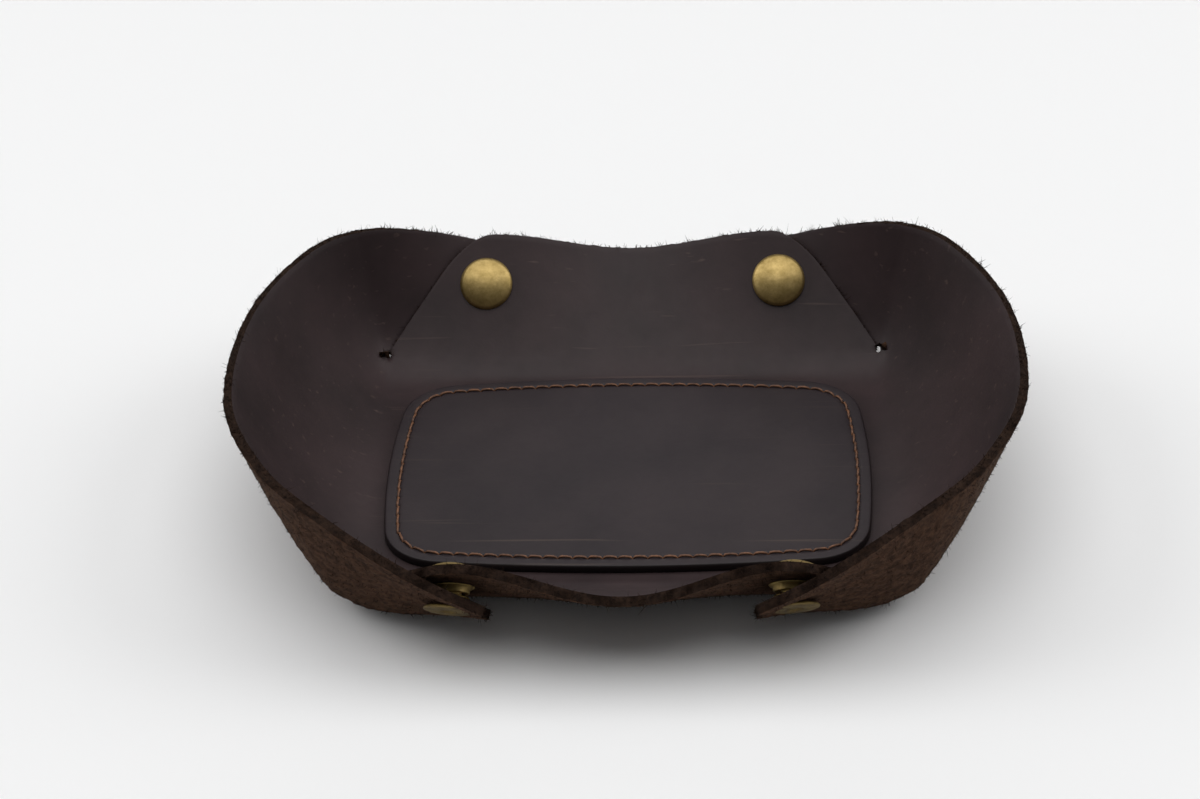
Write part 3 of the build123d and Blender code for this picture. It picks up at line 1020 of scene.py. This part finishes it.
# %% Caps, sockets, studs and posts
cap_dome = [(0, -2.95), (1.2, -2.85), (3.2, -2.35), (4.9, -1.6), (5.9, -0.95), (6.25, -0.45)]
cap_profile = np.concatenate(
    [
        rounded_profile(cap_dome),
        rounded_profile([(6.25, -0.45), (6.2, -0.12), (5.95, 0.0)], 3)[1:],
        [(5.6, -0.1), (1.6, -0.1), (1.6, 2.45), (2.2, 2.55), (2.2, 2.8), (0, 2.8)],
    ]
)
socket_profile = [
    (1.75, 2.05),
    (4.8, 2.05),
    (5.0, 2.2),
    (4.8, 2.45),
    (4.15, 2.55),
    (4.05, 3.5),
    (3.85, 3.7),
    (3.15, 3.7),
    (2.95, 3.55),
    (3.05, 2.9),
    (2.95, 2.5),
    (1.75, 2.5),
    (1.75, 2.05),
]
stud_profile = [
    (1.6, -0.02),
    (4.0, -0.02),
    (4.1, -0.15),
    (4.0, -0.32),
    (2.4, -0.4),
    (2.15, -0.6),
    (2.3, -0.95),
    (2.35, -1.2),
    (2.1, -1.48),
    (1.6, -1.55),
    (1.6, -0.02),
]
post_profile = [
    (0, -1.5),
    (1.55, -1.5),
    (1.55, 2.02),
    (5.05, 2.02),
    (5.25, 2.3),
    (5.2, 2.52),
    (4.7, 2.7),
    (3.2, 2.8),
    (2.3, 2.8),
    (1.9, 2.7),
    (1.5, 2.45),
    (0.8, 2.4),
    (0, 2.4),
]
for corner, sides in corners.items():
    flap = corner + "_flap"
    for kind, profile, seat, axis, body in (
        ("cap", cap_profile, snap_seat, snap_out, "tray"),
        ("socket", socket_profile, snap_seat, snap_out, "tray"),
        ("stud", stud_profile, stud_seat, stud_out, flap),
        ("post", post_profile, stud_seat, stud_out, flap),
    ):
        name = corner + "_" + kind + "_brass"
        turned(name, profile, seat, axis, sides, body, corner + "_snap_" + kind)
print("brass pieces", 4 * len(corners))

# %% [markdown]
# A raw cut edge of hide sheds fibres, and so does the flesh side, more sparsely. They lean
# together in tufts and curl. A hair system could grow them, but strands made in code stay
# the same on each run. Each is a thin three-sided spike.

# %% Fibres on the cut edges and the suede
fibre_lengths = 3
fibre_radius = 0.085
tuft_lean = 0.55
edge_density, edge_longest = 3.6, 1.25
nap_density, nap_longest = 0.6, 0.7
floor_clearance = 0.4


def fibres(name, roots, directions, lengths):
    """One mesh of curved, tapering strands that start at roots and leave in directions."""
    count = len(roots)
    curl = random.normal(0, 0.55, (count, 3)) * lengths[:, None]
    share = np.linspace(0, 1, fibre_lengths + 1)
    line = (
        roots[:, None]
        + directions[:, None] * lengths[:, None, None] * share[None, :, None]
        + curl[:, None] * (share**2)[None, :, None]
    )
    side = np.cross(directions, random.normal(0, 1, (count, 3)))
    side = side / np.linalg.norm(side, axis=1, keepdims=True)
    other = np.cross(directions, side)
    turns = np.array((0, 2, 4)) * np.pi / 3
    around = (
        side[:, None] * np.cos(turns)[None, :, None] + other[:, None] * np.sin(turns)[None, :, None]
    )
    taper = fibre_radius * (1 - 0.75 * share)
    thick = random.uniform(0.6, 1.3, count)
    points = line[:, :, None] + around[:, None] * (taper[None] * thick[:, None])[..., None, None]
    rings = (fibre_lengths + 1) * 3
    faces = []
    for strand in range(count):
        start = strand * rings
        faces += grid_faces(fibre_lengths + 1, 3, start, wrap=True)
        end = start + rings - 3
        faces.append((end, end + 1, end + 2))
        faces.append((start + 2, start + 1, start))
    made = make_object(name, points.reshape(-1, 3), faces, [cut_hide])
    print(name, count, "fibres")
    return made


def scattered(piece, finish, per_square_mm, longest):
    """Random roots on the faces of one finish, with outward directions and lengths."""
    mesh = piece.data
    mesh.calc_loop_triangles()
    picked = [t for t in mesh.loop_triangles if mesh.polygons[t.polygon_index].material_index == finish]
    corners_of = np.array([[mesh.vertices[v].co for v in t.vertices] for t in picked]) / MM
    normals = np.array([t.normal for t in picked])
    lifted = corners_of[:, :, 2].min(axis=1) > leather_thickness / 2
    corners_of, normals = corners_of[lifted], normals[lifted]
    edge_a = corners_of[:, 1] - corners_of[:, 0]
    edge_b = corners_of[:, 2] - corners_of[:, 0]
    area = np.linalg.norm(np.cross(edge_a, edge_b), axis=1) / 2
    count = int(area.sum() * per_square_mm)
    chosen = random.choice(len(area), count, p=area / area.sum())
    u, v = random.uniform(0, 1, (2, count))
    fold = u + v > 1
    u, v = np.where(fold, 1 - u, u), np.where(fold, 1 - v, v)
    roots = corners_of[chosen, 0] + edge_a[chosen] * u[:, None] + edge_b[chosen] * v[:, None]
    # Neighbouring fibres lean the same way, and they are longer in some stretches than in others
    lean = np.sin(roots[:, [1, 2, 0]] * 2.9 + roots[:, [2, 0, 1]] * 1.7 + (0, 2, 4)) * tuft_lean
    directions = normals[chosen] + lean + random.normal(0, 0.3, (count, 3))
    directions = directions / np.linalg.norm(directions, axis=1, keepdims=True)
    lengths = longest * random.uniform(0.25, 1, count) ** 1.5
    patch = np.sin(roots[:, 0] * 0.9 + roots[:, 1] * 0.5) + np.sin(roots[:, 1] * 1.3 - roots[:, 2] * 0.8)
    lengths = lengths * (0.55 + 0.45 * smooth_step((patch + 1.2) / 2.4))
    safe = roots[:, 2] + directions[:, 2] * lengths > floor_clearance
    return roots[safe], directions[safe], lengths[safe]


for part, piece in [("tray_leather", tray_leather), *flap_leathers.items()]:
    edge = scattered(piece, edge_slot, edge_density, edge_longest)
    nap = scattered(piece, suede_slot, nap_density, nap_longest)
    roots, directions, lengths = (np.concatenate(pair) for pair in zip(edge, nap))
    made = fibres(part + "_fibres", roots, directions, lengths)
    if piece is tray_leather:
        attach(made, "tray")
    else:
        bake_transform(made)

# %% [markdown]
# The stage: a pale floor in a dim white room, with five large soft lamps. One hangs overhead,
# one stands at each side, one low behind, and a weak one in front. Together they make a soft
# shadow all round that is darkest in front. The floor shows about as light as its colour is written.

# %% Floor, lamps and room
floor_size = 4.0
floor = make_object(
    "floor",
    np.array([(-1, -1, 0), (1, -1, 0), (1, 1, 0), (-1, 1, 0)]) * floor_size / 2 / MM,
    [(0, 1, 2, 3)],
    [],
)
floor.location.z = -0.0002
paper, tree, shader = new_material("white_paper")
shader.inputs["Base Color"].default_value = linear("#f6f6f6")
shader.inputs["Roughness"].default_value = 0.9
shader.inputs["Specular IOR Level"].default_value = 0.1
floor.data.materials.append(paper)

for name, place, size, watts in (
    ("lamp_overhead", (0, 0, 1.4), (1.6, 1.6), 13.0),
    ("lamp_left", (-1.3, 0.2, 0.9), (1.0, 1.0), 8.3),
    ("lamp_right", (1.3, 0.2, 0.9), (1.0, 1.0), 8.3),
    ("lamp_behind", (0, 1.8, 0.8), (1.8, 0.9), 4.0),
    ("lamp_front", (0, -0.9, 1.3), (1.2, 1.2), 1.5),
):
    lamp = bpy.data.lights.new(name, "AREA")
    lamp.shape = "RECTANGLE"
    lamp.size, lamp.size_y = size
    lamp.energy = watts
    holder = bpy.data.objects.new(name, lamp)
    holder.location = place
    holder.rotation_euler = (-Vector(place)).to_track_quat("-Z", "Y").to_euler()
    bpy.context.scene.collection.objects.link(holder)

room = bpy.data.worlds.new("white_room")
room.use_nodes = True
bpy.context.scene.world = room
tree = room.node_tree
path = add(tree, "LightPath", {})
seen = add(
    tree,
    "Math",
    {0: path.outputs["Is Camera Ray"], 1: path.outputs["Is Transmission Ray"]},
    operation="MAXIMUM",
)
strength = add(tree, "MapRange", {"Value": seen.outputs[0], 3: 0.12, 4: 0.95})
background = tree.nodes["Background"]
background.inputs["Color"].default_value = linear("#fcfdff")
tree.links.new(strength.outputs[0], background.inputs["Strength"])

# %% [markdown]
# The camera stands where the photographer stood. Its place and lens were worked out from the
# tray's own sizes in the photograph.

# %% Camera
camera_place = Vector((0.0194, -0.4736, 0.3496))
camera_forward = Vector((-0.0438, 0.8220, -0.5677)).normalized()
camera_roll = -2.335
lens_mm = 78.23
level_right = camera_forward.cross(Vector((0, 0, 1))).normalized()
level_up = level_right.cross(camera_forward)
turn = math.radians(camera_roll)
right = level_right * math.cos(turn) + level_up * math.sin(turn)
up = level_up * math.cos(turn) - level_right * math.sin(turn)
camera = bpy.data.objects.new("camera", bpy.data.cameras.new("camera"))
camera.data.lens = lens_mm
camera.data.sensor_width = 36
camera.data.clip_start = 0.01
axes = Matrix((right, up, -camera_forward)).transposed().to_4x4()
camera.matrix_world = Matrix.Translation(camera_place) @ axes
bpy.context.scene.collection.objects.link(camera)
bpy.context.scene.camera = camera
bpy.context.scene.view_settings.view_transform = "Standard"
